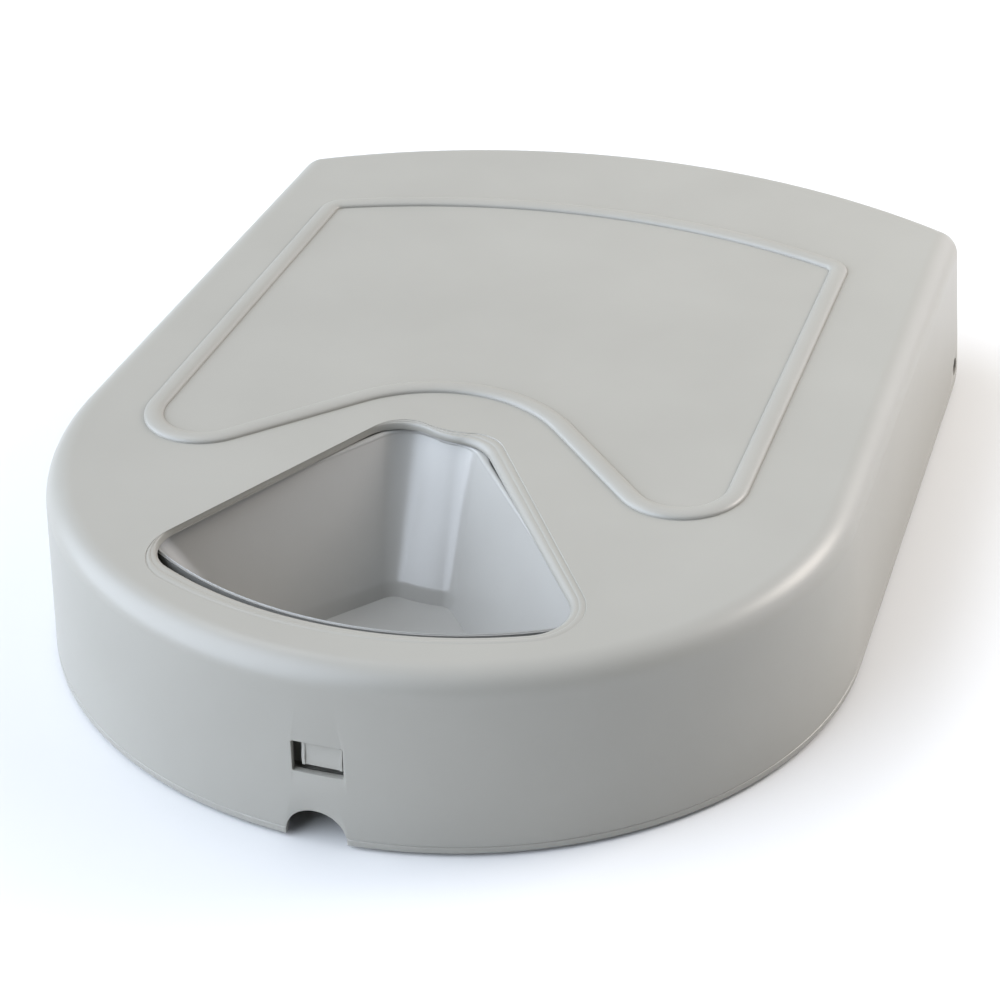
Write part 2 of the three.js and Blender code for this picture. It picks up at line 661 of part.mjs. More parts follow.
// Control panel, screen and keys in the rear roof, reached with the lid open
const panelLow = baseTop - 0.55;
const panelHigh = panelLow + panelThick;
const screenX = -32;
const screenWidth = 48;
const screenDepth = 24;
const keyRadius = 5.5;
const keys = [[14, 8], [32, 8], [14, -8], [32, -8]];
function makePanel() {
  const blank = extrude(roundedRectangle(panelWidth - 1, panelDepth - 1, 4.5), panelLow + 0.5, panelHigh - 0.5, 0.5, 1);
  blank.translate(0, cellY, 0);
  let panel = toSolid(blank);
  panel = panel.subtract(plate(screenX, cellY, 0, 60, screenWidth, screenDepth, 2));
  for (const [x, y] of keys) {
    panel = panel.subtract(cylinder(x, cellY + y, 0, 60, keyRadius + slideGap, undefined, 28));
  }
  for (const x of [-panelScrewX, panelScrewX]) {
    panel = panel.subtract(cylinder(x, cellY, 0, 60, 1.7, undefined, 16));
  }
  return panel;
}
finish('control_panel', makePanel(), 'dark');
finish('display_window', plate(screenX, cellY, panelHigh - 1.2, panelHigh - 0.1, screenWidth - 0.6,
  screenDepth - 0.6, 1.7), 'lcd');
const boardLow = bayTop + 2.4;
finish('circuit_board', plate(0, cellY, boardLow, boardLow + 1.6, 132, 32, 2), 'board');
finish('lcd_module', plate(screenX, cellY, boardLow + 1.62, panelLow - 0.1, 44, 20, 1), 'lcd');
keys.forEach(([x, y], i) => {
  const cap = cylinder(x, cellY + y, panelLow - 0.6, panelHigh + 0.9, keyRadius, keyRadius - 0.5, 28);
  const flange = cylinder(x, cellY + y, panelLow - 1.6, panelLow - 0.3, keyRadius + 1.2, undefined, 28);
  finish(`button_${i + 1}`, cap.add(flange), 'key');
});
[-panelScrewX, panelScrewX].forEach((x, i) => {
  const cap = cylinder(x, cellY, panelHigh + 0.05, panelHigh + 1.2, 3, 2.4, 20);
  const stem = cylinder(x, cellY, panelLow - 1.2, panelHigh + 0.1, 1.5, undefined, 16);
  finish(`panel_screw_${i + 1}`, cap.add(stem), 'metal');
});

// Sprung latch in the front wall; its ramped face shows in the lid's window
const latchFace = skirtFrontY + (lidDraft * latchZ) / wallTop + 0.4;
const tabWidth = 14.2;
const tabHeight = 8.6;
const tabX = latchX + (latchWidth - tabWidth) / 2 - 0.5;
const tabLow = latchZ - tabHeight / 2 + 1.2;
function makeLatch() {
  const profile = new THREE.Shape([
    new THREE.Vector2(0, 0), new THREE.Vector2(3.4, 0), new THREE.Vector2(3.4, tabHeight),
    new THREE.Vector2(1.9, tabHeight), new THREE.Vector2(0, 1.6),
  ]);
  const tab = new THREE.ExtrudeGeometry(profile, { depth: tabWidth, bevelEnabled: false });
  tab.rotateX(Math.PI / 2);
  tab.rotateZ(Math.PI / 2);
  tab.translate(tabX - tabWidth / 2, latchFace, tabLow);
  return toSolid(tab);
}
const tabSolid = makeLatch();
const tabBounds = tabSolid.boundingBox();
const plateY = latchFace + 4.2;
const latchPlate = box(tabX, plateY, tabLow - 2.5, tabLow + tabHeight + 1, tabWidth + 2.8, 1.6);
finish('latch', tabSolid.add(latchPlate), 'shell');
const springStart = plateY + 0.8 + 0.05;
class Coil extends THREE.Curve {
  getPoint(t, target = new THREE.Vector3()) {
    const angle = t * 4 * 2 * Math.PI;
    return target.set(tabX + 2.6 * Math.cos(angle), springStart + 0.35 + 4.6 * t,
      tabLow + tabHeight / 2 - 1 + 2.6 * Math.sin(angle));
  }
}
const wire = new THREE.Shape();
wire.absarc(0, 0, 0.3, 0, 2 * Math.PI);
const coil = new THREE.ExtrudeGeometry(wire, { steps: 48, curveSegments: 3, extrudePath: new Coil() });
finish('latch_spring', toSolid(coil), 'metal');

export default group;
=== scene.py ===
# Automatic pet feeder with a hinged lid over a turning tray of bowls.
import bpy
import bmesh
from math import acos, asin, atan2, cos, hypot, pi, radians, sin, tan
from mathutils import Matrix, Vector, geometry


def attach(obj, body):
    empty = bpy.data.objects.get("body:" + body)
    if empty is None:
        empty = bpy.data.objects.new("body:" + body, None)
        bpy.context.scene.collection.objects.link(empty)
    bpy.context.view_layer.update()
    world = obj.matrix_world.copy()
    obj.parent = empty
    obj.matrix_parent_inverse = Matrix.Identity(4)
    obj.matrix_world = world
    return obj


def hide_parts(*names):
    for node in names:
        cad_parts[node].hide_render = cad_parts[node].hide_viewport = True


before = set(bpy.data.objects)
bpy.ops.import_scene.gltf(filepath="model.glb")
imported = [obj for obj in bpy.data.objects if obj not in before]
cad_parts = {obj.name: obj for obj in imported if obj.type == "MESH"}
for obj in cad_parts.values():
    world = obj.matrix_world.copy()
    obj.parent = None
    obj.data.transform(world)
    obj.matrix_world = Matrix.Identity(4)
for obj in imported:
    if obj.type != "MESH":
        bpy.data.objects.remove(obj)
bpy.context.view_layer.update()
mm = 0.001

# Plan sizes in millimetres for the lid, its latch and the places along the body
body = {
    "halfWidth": 150.0,
    "frontDepth": 139.0,
    "backDepth": 263.5,
    "backBulge": 37.0,
    "backNarrowing": 1.0,
    "cornerRadius": 10.5,
    "lidTop": 70.5,
    "lidRound": 10.0,
    "lean": 4.0,
    "skirtLow": 1.5,
    "backLipLow": 44.5,
}
wallTop = body["lidTop"] - body["lidRound"]


def leanAt(z):
    return max(0.0, (wallTop - z) / wallTop) * body["lean"]


centreY = (body["backDepth"] + leanAt(body["backLipLow"])
           - body["frontDepth"] - leanAt(body["skirtLow"])) / 2
# Places along the body, from the middle of its front arc
along = {"hub": 33.5, "hinge": 212.0, "cells": 207.5}
hubY = along["hub"] - centreY
hingeY = along["hinge"] - centreY
hingeZ = 10.5
cellY = along["cells"] - centreY
skirtFrontY = -body["frontDepth"] - body["lean"] - centreY


def arcPoints(x, y, radius, start, end, count):
    return [(x + radius * cos(start + (end - start) * i / count),
             y + radius * sin(start + (end - start) * i / count)) for i in range(count + 1)]


def bodyOutline(grow, setIn=0.0, fine=1):
    back = body["backDepth"] - setIn
    corner = body["cornerRadius"]
    cornerX = body["halfWidth"] - body["backNarrowing"] - corner
    cornerY = back - body["backBulge"] - corner
    rise = back - cornerY
    arcRadius = (cornerX ** 2 + rise ** 2 - corner ** 2) / (2 * (rise - corner))
    arcY = back - arcRadius
    turn = atan2(cornerY - arcY, cornerX)
    points = []
    count = 120 * fine
    for i in range(count + 1):
        angle = pi + pi * i / count
        points.append(((body["halfWidth"] + grow) * cos(angle), (body["frontDepth"] + grow) * sin(angle)))
    sideEnd = (cornerX + max(corner + grow, 0.08), cornerY)
    first = points[-1]
    points += [(first[0] + (sideEnd[0] - first[0]) * i / 24, first[1] + (sideEnd[1] - first[1]) * i / 24)
               for i in range(1, 24)]
    tight = max(corner + grow, 0.08)
    points += arcPoints(cornerX, cornerY, tight, 0, turn, 10)
    points += arcPoints(0, arcY, arcRadius + max(grow, 0.08 - corner), turn, pi - turn, 60)[1:-1]
    points += arcPoints(-cornerX, cornerY, tight, pi - turn, pi, 10)
    last = points[-1]
    start = points[0]
    points += [(last[0] + (start[0] - last[0]) * i / 24, last[1] + (start[1] - last[1]) * i / 24)
               for i in range(1, 24)]
    return [(x, y - centreY) for x, y in points]


def wedgeOutline(inner, outer, left, right, leftGap, rightGap, innerCorner, outerCorner, fine=28):
    def side(angle, gap):
        at = angle - asin((gap + outerCorner) / (outer - outerCorner))
        near = angle - asin((gap + innerCorner) / (inner + innerCorner))
        far = outer - outerCorner
        close = inner + innerCorner
        points = arcPoints(far * cos(at), far * sin(at), outerCorner, at, angle + pi / 2, 14)
        begin = points[-1]
        turned = arcPoints(close * cos(near), close * sin(near), innerCorner, angle + pi / 2, near + pi, 12)
        finish = turned[0]
        points += [(begin[0] + (finish[0] - begin[0]) * i / 12, begin[1] + (finish[1] - begin[1]) * i / 12)
                   for i in range(1, 12)]
        return points + turned, at, near
    a, atA, nearA = side(right, rightGap)
    b, atB, nearB = side(left, leftGap)
    points = arcPoints(0, 0, outer, -atB, atA, fine)
    points += a[1:]
    points += arcPoints(0, 0, inner, nearA, -nearB, 14)[1:-1]
    points += [(x, -y) for x, y in reversed(b[1:])]
    return [(y, -x) for x, y in points]


def shifted(points, x, y, turn=0.0):
    c, s = cos(turn), sin(turn)
    return [(x + c * px - s * py, y + s * px + c * py) for px, py in points]


# Opening over the front bowl, at the crease round it and at its rolled edge; its two sides lean differently
opening = {
    "crease": {"x": -2.0, "y": 44.8, "inner": 34.5, "outer": 164.6, "left": 27.4, "right": 34.1,
               "leftGap": -9.0, "rightGap": 5.4, "innerCorner": 14.2, "outerCorner": 19.8},
    "edge": {"x": 0.8, "y": 38.3, "inner": 31.5, "outer": 152.3, "left": 27.5, "right": 34.8,
             "leftGap": -14.6, "rightGap": 10.8, "innerCorner": 17.0, "outerCorner": 15.5},
}


def mixed(start, end, share):
    return {key: start[key] + (end[key] - start[key]) * share for key in start}


def grownWedge(size, inset):
    return wedgeOutline(
        size["inner"] + inset, size["outer"] - inset, radians(size["left"]), radians(size["right"]),
        size["leftGap"] + inset, size["rightGap"] + inset,
        max(size["innerCorner"] - inset, 1.0), max(size["outerCorner"] - inset, 1.0))


def openingOutline(share):
    size = mixed(opening["crease"], opening["edge"], share)
    return shifted(grownWedge(size, 0), size["x"], size["y"] - centreY)


# Raised bead round the rear of the lid: two lobes at the front with a hump between them
bead = {
    "x": -5.0, "lobeX": 91.7, "lobeY": -0.8, "lobe": 20.5, "hump": 56.0, "humpY": -15.8,
    "back": 197.7, "cornerY": 170.0, "corner": 7.0,
}


def beadOutline(out):
    b = bead
    lobe = b["lobe"] + out
    hump = b["hump"] - out
    span = hypot(b["lobeX"], b["lobeY"] - b["humpY"])
    slope = atan2(b["lobeY"] - b["humpY"], b["lobeX"])
    turn = slope + acos((lobe + hump) / span)
    corner = b["corner"] + out
    cornerX = b["lobeX"] + lobe - corner
    back = b["back"] + out
    rise = back - b["cornerY"]
    arcRadius = (cornerX ** 2 + rise ** 2 - corner ** 2) / (2 * (rise - corner))
    arcY = back - arcRadius
    cut = atan2(b["cornerY"] - arcY, cornerX)

    def join(p, q, count):
        return [(p[0] + (q[0] - p[0]) * i / count, p[1] + (q[1] - p[1]) * i / count) for i in range(1, count)]
    top = arcPoints(0, b["humpY"], hump, pi - turn, turn, 40)
    lobeRight = arcPoints(b["lobeX"], b["lobeY"], lobe, turn + pi, 2 * pi, 32)
    cornerRight = arcPoints(cornerX, b["cornerY"], corner, 0, cut, 12)
    rear = arcPoints(0, arcY, arcRadius, cut, pi - cut, 48)
    points = top + join(top[-1], lobeRight[0], 10) + lobeRight
    points += join(lobeRight[-1], cornerRight[0], 16) + cornerRight + rear[1:-1]
    left = [(-x, y) for x, y in reversed(cornerRight)]
    lobeLeft = [(-x, y) for x, y in reversed(lobeRight)]
    points += left + join(left[-1], lobeLeft[0], 16) + lobeLeft + join(lobeLeft[-1], top[0], 10)
    return shifted(points, b["x"], -centreY)


def addRing(bm, points, z):
    if callable(z):
        return [bm.verts.new((x * mm, y * mm, z(x, y) * mm)) for x, y in points]
    return [bm.verts.new((x * mm, y * mm, z * mm)) for x, y in points]


def bridge(bm, a, b):
    count = len(a)
    for i in range(count):
        j = (i + 1) % count
        bm.faces.new((a[i], a[j], b[j], b[i]))


def isInside(point, loop):
    x, y = point
    inside = False
    for (ax, ay), (bx, by) in zip(loop, loop[1:] + loop[:1]):
        if (ay > y) != (by > y) and x < (bx - ax) * (y - ay) / (by - ay) + ax:
            inside = not inside
    return inside


def fill(bm, outer, holes=(), up=True):
    loops = [outer] + list(holes)
    verts = [v for loop in loops for v in loop]
    edges = []
    start = 0
    for loop in loops:
        count = len(loop)
        edges += [(start + i, start + (i + 1) % count) for i in range(count)]
        start += count
    flat = [Vector((v.co.x / mm, v.co.y / mm)) for v in verts]
    result = geometry.delaunay_2d_cdt(flat, edges, [], 4, 1e-6)
    made = [None] * len(result[0])
    for i, source in enumerate(result[3]):
        made[i] = verts[source[0]] if source else None
    shapes = [[(v.co.x / mm, v.co.y / mm) for v in loop] for loop in loops]
    for face in result[2]:
        corners = [made[i] for i in face]
        if None in corners or len(set(corners)) < 3:
            continue
        middle = (sum(result[0][i].x for i in face) / 3, sum(result[0][i].y for i in face) / 3)
        if not isInside(middle, shapes[0]) or any(isInside(middle, hole) for hole in shapes[1:]):
            continue
        if not up:
            corners.reverse()
        bm.faces.new(corners)


def makeObject(name, bm, material, sharp=35):
    bmesh.ops.recalc_face_normals(bm, faces=bm.faces)
    mesh = bpy.data.meshes.new(name)
    bm.to_mesh(mesh)
    bm.free()
    mesh.shade_smooth()
    mesh.set_sharp_from_angle(angle=radians(sharp))
    mesh.materials.append(material)
    made = bpy.data.objects.new(name, mesh)
    bpy.context.scene.collection.objects.link(made)
    return made


def cutWith(target, cutters, operation="DIFFERENCE"):
    for cutter in cutters:
        step = target.modifiers.new("cut", "BOOLEAN")
        step.object = cutter
        step.operation = operation
        step.solver = "EXACT"
    bpy.context.view_layer.update()
    done = bpy.data.meshes.new_from_object(target.evaluated_get(bpy.context.evaluated_depsgraph_get()))
    target.modifiers.clear()
    target.data = done
    for cutter in cutters:
        bpy.data.objects.remove(cutter)


def prism(name, points, low, high, axis="z"):
    bm = bmesh.new()
    place = {
        "z": lambda x, y, d: (x * mm, y * mm, d * mm),
        "y": lambda x, y, d: (x * mm, d * mm, y * mm),
        "x": lambda x, y, d: (d * mm, x * mm, y * mm),
    }[axis]
    a = [bm.verts.new(place(x, y, low)) for x, y in points]
    b = [bm.verts.new(place(x, y, high)) for x, y in points]
    bridge(bm, a, b)
    bm.faces.new(a)
    bm.faces.new(b)
    bmesh.ops.recalc_face_normals(bm, faces=bm.faces)
    mesh = bpy.data.meshes.new(name)
    bm.to_mesh(mesh)
    bm.free()
    made = bpy.data.objects.new(name, mesh)
    bpy.context.scene.collection.objects.link(made)
    return made


def roundedRectangle(x, y, width, depth, radius, count=6):
    w = width / 2 - radius
    d = depth / 2 - radius
    points = []
    for cx, cy, start in ((w, -d, -pi / 2), (w, d, 0), (-w, d, pi / 2), (-w, -d, pi)):
        points += arcPoints(x + cx, y + cy, radius, start, start + pi / 2, count)
    return points


def softenCuts(target, near, size, sharpest=50):
    # Small rounds on the sharp edges that a cut left
    bm = bmesh.new()
    bm.from_mesh(target.data)
    edges = []
    for edge in bm.edges:
        if len(edge.link_faces) == 2 and edge.calc_face_angle(0) > radians(sharpest):
            middle = (edge.verts[0].co + edge.verts[1].co) / 2
            if near(middle.x / mm, middle.y / mm, middle.z / mm):
                edges.append(edge)
    if edges:
        bmesh.ops.bevel(bm, geom=edges, offset=size * mm, segments=2, profile=0.5,
                        affect="EDGES", clamp_overlap=True)
    bm.to_mesh(target.data)
    bm.free()
    target.data.shade_smooth()
    target.data.set_sharp_from_angle(angle=radians(35))


def hexColour(code, alpha=1.0):
    parts = [int(code[i:i + 2], 16) / 255 for i in (0, 2, 4)]
    return tuple(c / 12.92 if c <= 0.04045 else ((c + 0.055) / 1.055) ** 2.4 for c in parts) + (alpha,)


def addNode(tree, kind, inputs=None, **settings):
    node = tree.nodes.new(kind)
    for key, value in settings.items():
        setattr(node, key, value)
    for key, value in (inputs or {}).items():
        node.inputs[key].default_value = value
    return node


def newMaterial(name, roughness, metallic=0.0, ior=None, transmission=0.0):
    material = bpy.data.materials.new(name)
    material.use_nodes = True
    shader = material.node_tree.nodes["Principled BSDF"]
    shader.inputs["Roughness"].default_value = roughness
    shader.inputs["Metallic"].default_value = metallic
    if ior:
        shader.inputs["IOR"].default_value = ior
    shader.inputs["Transmission Weight"].default_value = transmission
    return material, material.node_tree, shader


def mottle(tree, shader, colours, size, share=0.5, coords="Object"):
    # Two close colours mixed by a soft cloud, size in millimetres
    coord = addNode(tree, "ShaderNodeTexCoord")
    cloud = addNode(tree, "ShaderNodeTexNoise", {"Scale": 1 / (size * mm), "Detail": 4.0, "Roughness": share})
    ramp = addNode(tree, "ShaderNodeValToRGB")
    ramp.color_ramp.elements[0].position = 0.3
    ramp.color_ramp.elements[1].position = 0.7
    ramp.color_ramp.elements[0].color = hexColour(colours[0])
    ramp.color_ramp.elements[1].color = hexColour(colours[1])
    tree.links.new(coord.outputs[coords], cloud.inputs["Vector"])
    tree.links.new(cloud.outputs["Fac"], ramp.inputs["Fac"])
    tree.links.new(ramp.outputs["Color"], shader.inputs["Base Color"])
    return coord


def grain(tree, shader, coord, size, depth, strength=0.3, wave=None, waveDepth=0.0):
    # Fine moulded grain, with an optional slow ripple of the surface
    noise = addNode(tree, "ShaderNodeTexNoise", {"Scale": 1 / (size * mm), "Detail": 2.0})
    bump = addNode(tree, "ShaderNodeBump", {"Strength": strength, "Distance": depth * mm})
    tree.links.new(coord.outputs["Object"], noise.inputs["Vector"])
    tree.links.new(noise.outputs["Fac"], bump.inputs["Height"])
    if wave:
        slow = addNode(tree, "ShaderNodeTexNoise", {"Scale": 1 / (wave * mm), "Detail": 0.0})
        under = addNode(tree, "ShaderNodeBump", {"Strength": 1.0, "Distance": waveDepth * mm})
        tree.links.new(coord.outputs["Object"], slow.inputs["Vector"])
        tree.links.new(slow.outputs["Fac"], under.inputs["Height"])
        tree.links.new(under.outputs["Normal"], bump.inputs["Normal"])
    tree.links.new(bump.outputs["Normal"], shader.inputs["Normal"])


# Satin moulded ABS: a fine etched skin blurs the lights, and big flat moulds sink a little
shellPlastic, tree, shader = newMaterial("satin ABS shell", 0.36, ior=1.53)
coord = mottle(tree, shader, ("929089", "96948D"), 60)
grain(tree, shader, coord, 0.55, 0.012, 0.25, wave=45, waveDepth=0.05)

# Glossier polypropylene for food contact: polished mould, so tighter reflections and a little light inside
trayPlastic, tree, shader = newMaterial("polished polypropylene tray", 0.22, ior=1.49)
shader.inputs["Subsurface Weight"].default_value = 0.08
shader.inputs["Subsurface Radius"].default_value = (0.004, 0.004, 0.004)
coord = mottle(tree, shader, ("9C9B97", "A09F9B"), 45)
grain(tree, shader, coord, 0.8, 0.006, 0.2, wave=30, waveDepth=0.05)

coverPlastic, tree, shader = newMaterial("etched ABS cover", 0.5, ior=1.53)
grain(tree, shader, mottle(tree, shader, ("ADABA3", "B5B3AB"), 40), 0.7, 0.03, 0.4)

darkPlastic, tree, shader = newMaterial("dark etched ABS", 0.45, ior=1.53)
grain(tree, shader, mottle(tree, shader, ("2E3032", "383A3C"), 20), 0.4, 0.02, 0.4)

keyPlastic, tree, shader = newMaterial("silicone keys", 0.55, ior=1.43)
grain(tree, shader, mottle(tree, shader, ("5F7F9E", "6888A6"), 8), 0.3, 0.01, 0.3)

gearPlastic, tree, shader = newMaterial("acetal gears", 0.38, ior=1.48)
shader.inputs["Subsurface Weight"].default_value = 0.1
shader.inputs["Subsurface Radius"].default_value = (0.002, 0.002, 0.002)
grain(tree, shader, mottle(tree, shader, ("E2DED0", "E9E6DA"), 12), 0.5, 0.01, 0.3)

footRubber, tree, shader = newMaterial("rubber feet", 0.75, ior=1.52)
grain(tree, shader, mottle(tree, shader, ("26272A", "303134"), 6), 0.4, 0.04, 0.5)

steel, tree, shader = newMaterial("zinc plated steel", 0.32, metallic=1.0)
grain(tree, shader, mottle(tree, shader, ("A9ABAE", "BFC1C4"), 5), 0.3, 0.008, 0.4)

springSteel, tree, shader = newMaterial("nickel plated spring steel", 0.25, metallic=1.0)
grain(tree, shader, mottle(tree, shader, ("B5B3AC", "C9C7C1"), 4), 0.25, 0.005, 0.3)

brass, tree, shader = newMaterial("turned brass", 0.3, metallic=1.0)
grain(tree, shader, mottle(tree, shader, ("C9A553", "D8B768"), 3), 0.2, 0.006, 0.3)

clearPlastic, tree, shader = newMaterial("clear acrylic window", 0.06, ior=1.49, transmission=0.92)
grain(tree, shader, mottle(tree, shader, ("EDF2F2", "F6F9F9"), 20), 6.0, 0.004, 0.3)

boardGreen, tree, shader = newMaterial("solder masked board", 0.3, ior=1.5)
grain(tree, shader, mottle(tree, shader, ("1E5A38", "2A6E47"), 4), 1.2, 0.03, 0.5)

screenGlass, tree, shader = newMaterial("screen glass", 0.12, ior=1.52)
grain(tree, shader, mottle(tree, shader, ("8D988A", "98A395"), 15), 5.0, 0.003, 0.2)

cellJacket, tree, shader = newMaterial("printed cell jacket", 0.2, ior=1.5)
grain(tree, shader, mottle(tree, shader, ("2F4F78", "385A85"), 18), 2.0, 0.01, 0.3)
print("materials done")


lid = {
    "ear": 8.5, "earBack": 9.0,
    "thick": 2.2,
    "beadHeight": 1.9,
    "beadHalf": 3.7,
    "lipDrop": 3.0,
    "windowX": 1.8, "windowZ": 34.4, "windowWidth": 18.2, "windowHeight": 12.0,
    "notchRadius": 11.0, "notchZ": 2.5,
    "pinHole": 3.9,
    "cutRound": 0.35,
}


def leaning(points, z):
    out = []
    lean = leanAt(z)
    for x, y in points:
        y += centreY
        reach = body["frontDepth"] if y < 0 else body["backDepth"]
        out.append((x * (1 + lean / body["halfWidth"]), y * (1 + lean / reach) - centreY))
    return out


def makeLid():
    bm = bmesh.new()
    top = body["lidTop"]
    low = body["skirtLow"]
    inside = lid["thick"]
    steps = 14
    # From the underside edge, down the inner wall, round the lower edge and up the outer wall
    profile = []
    innerRound = body["lidRound"] - inside
    profile.append((-body["lidRound"] - 0.6, top - inside))
    for i in range(6 + 1):
        angle = pi / 2 * (1 - i / 6)
        profile.append((-body["lidRound"] + innerRound * cos(angle), wallTop + innerRound * sin(angle)))
    profile += [(-inside, 40.0), (-inside, 20.0), (-inside, low + 0.3), (-inside + 0.3, low)]
    profile += [(-0.5, low), (-0.15, low + 0.15), (0.0, low + 0.5)]
    profile += [(0.0, low + 2.4), (-0.22, low + 2.55), (-0.22, low + 2.85), (0.0, low + 3.1)]
    profile += [(0.0, 20.0), (0.0, 40.0)]
    for i in range(steps + 1):
        angle = pi / 2 * i / steps
        profile.append((-body["lidRound"] * (1 - cos(angle)), wallTop + body["lidRound"] * sin(angle)))
    profile.append((-body["lidRound"] - 0.5, top))
    rings = [addRing(bm, leaning(bodyOutline(grow), z), z) for grow, z in profile]
    for a, b in zip(rings, rings[1:]):
        bridge(bm, a, b)
    # Rim of the opening: a crease, a flat land with a second line, a rolled edge, then back to the underside
    drop = lid["lipDrop"]
    rim = [(-0.09, 0.0), (0.0, 0.0), (0.035, -0.24), (0.085, -0.27), (0.15, -0.1), (0.22, -0.03),
           (0.36, -0.04), (0.42, -0.1), (0.46, -0.3), (0.52, -0.33), (0.6, -0.26), (0.7, -0.33), (0.8, -0.6), (0.88, -1.0),
           (0.95, -1.55), (0.99, -2.1), (1.0, -drop + 0.3), (0.985, -drop + 0.08), (0.95, -drop),
           (0.74, -drop), (0.7, -drop + 0.2), (0.66, -inside), (0.6, -inside)]
    rimRings = [addRing(bm, openingOutline(share), top + z) for share, z in rim]
    for a, b in zip(rimRings, rimRings[1:]):
        bridge(bm, b, a)
    # Bead: a low round rib with a crisp foot on both sides
    half = lid["beadHalf"]
    crest = [(half + 1.2, 0.0), (half + 0.5, 0.0)]
    crest += [(half * cos(pi * i / 18), lid["beadHeight"] * sin(pi * i / 18) ** 0.85) for i in range(19)]
    crest += [(-half - 0.5, 0.0), (-half - 1.2, 0.0)]
    beadRings = [addRing(bm, beadOutline(out), top + z) for out, z in crest]
    for a, b in zip(beadRings, beadRings[1:]):
        bridge(bm, a, b)
    fill(bm, rings[-1], [beadRings[0], rimRings[0]])
    fill(bm, beadRings[-1])
    fill(bm, rings[0], [rimRings[-1]], up=False)
    made = makeObject("lid_shell", bm, shellPlastic)
    # Cuts in the skirt
    w = lid
    window = prism("cutWindow",
                   roundedRectangle(w["windowX"], w["windowZ"], w["windowWidth"], w["windowHeight"], 0.8),
                   skirtFrontY - 20, skirtFrontY + 30, "y")
    notch = prism("cutNotch", arcPoints(0, w["notchZ"], w["notchRadius"], 0, 2 * pi, 72)[:-1],
                  skirtFrontY - 20, skirtFrontY + 30, "y")
    # Side view of what is taken from the back: under the lip, down to an ear round each pin
    ear = w["ear"]
    cutY = hingeY + w["earBack"]
    side = [(hingeY + ear * sin(radians(a)), hingeZ - ear * cos(radians(a))) for a in range(0, 91, 6)]
    side += [(cutY - 0.6, hingeZ + 1.5), (cutY, hingeZ + 4)]
    lip = body["backLipLow"]
    side += [(cutY, lip - 3), (cutY + 0.9, lip - 0.9), (cutY + 3, lip)]
    side += [(hingeY + 150, lip), (hingeY + 150, -20), (hingeY, -20)]
    back = prism("cutBack", side, -300, 300, "x")
    hole = arcPoints(hingeY, hingeZ, w["pinHole"], 0, 2 * pi, 40)[:-1]
    pins = [prism("cutPin", hole, x, x + 24, "x") for x in (-162, 138)]
    cutWith(made, [window, notch, back] + pins)

    def nearCuts(x, y, z):
        if y < skirtFrontY + 12 and abs(x) < 24:
            return z > 2.2 or abs(x) > 15
        return y > hingeY - 5 and z < body["backLipLow"] + 1
    softenCuts(made, nearCuts, w["cutRound"])
    return made


lidShell = makeLid()
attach(lidShell, "lid_body")
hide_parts("lid")
print("lid done", len(lidShell.data.polygons))


tray = {
    "low": 16.5, "top": 67.1, "radius": 143.2, "bowls": 5, "floor": 18.7,
    "wall": 2.0, "rim": 1.5, "knuckle": 6.0, "lean": 1.2,
    "mouth": {"inner": 25.5, "outer": 141.8, "left": 34, "right": 38, "leftGap": -9, "rightGap": 12,
              "innerCorner": 14, "outerCorner": 8},
    "base": {"inner": 59, "outer": 129, "left": 40, "right": 40, "leftGap": 23.5, "rightGap": 32,
             "innerCorner": 9, "outerCorner": 12},
    "hollow": 22.7, "knob": 16.0, "socket": 12.3,
}


def makeSolid(name, rings):
    # Closed solid through outlines of the same count; each is a list of points and a height
    bm = bmesh.new()
    made = [addRing(bm, points, z) for points, z in rings]
    for a, b in zip(made, made[1:]):
        bridge(bm, a, b)
    fill(bm, made[0])
    fill(bm, made[-1])
    bmesh.ops.recalc_face_normals(bm, faces=bm.faces)
    mesh = bpy.data.meshes.new(name)
    bm.to_mesh(mesh)
    bm.free()
    solid = bpy.data.objects.new(name, mesh)
    bpy.context.scene.collection.objects.link(solid)
    return solid


def lathed(name, profile, x=0.0, y=0.0, count=120):
    return makeSolid(name, [(arcPoints(x, y, radius, 0, 2 * pi, count)[:-1], z) for radius, z in profile])


def bowlSolid(name, turn, wall):
    # share 0 is the mouth and 1 the floor; the wall between them is straight
    rings = []
    for share, inset, z in wall:
        points = [(a[0] + (b[0] - a[0]) * share, a[1] + (b[1] - a[1]) * share)
                  for a, b in zip(grownWedge(tray["mouth"], inset), grownWedge(tray["base"], inset))]
        rings.append((shifted(points, 0, hubY, turn), z))
    return makeSolid(name, rings)


def settle(target):
    # Merge what a cut left, and let the flat faces lead the shading
    bm = bmesh.new()
    bm.from_mesh(target.data)
    bmesh.ops.remove_doubles(bm, verts=bm.verts, dist=0.002 * mm)
    bmesh.ops.dissolve_degenerate(bm, edges=bm.edges, dist=0.002 * mm)
    bm.to_mesh(target.data)
    bm.free()
    target.data.shade_smooth()
    target.data.set_sharp_from_angle(angle=radians(32))
    step = target.modifiers.new("weights", "WEIGHTED_NORMAL")
    step.keep_sharp = True
    bpy.context.view_layer.update()
    done = bpy.data.meshes.new_from_object(target.evaluated_get(bpy.context.evaluated_depsgraph_get()))
    target.modifiers.clear()
    target.data = done


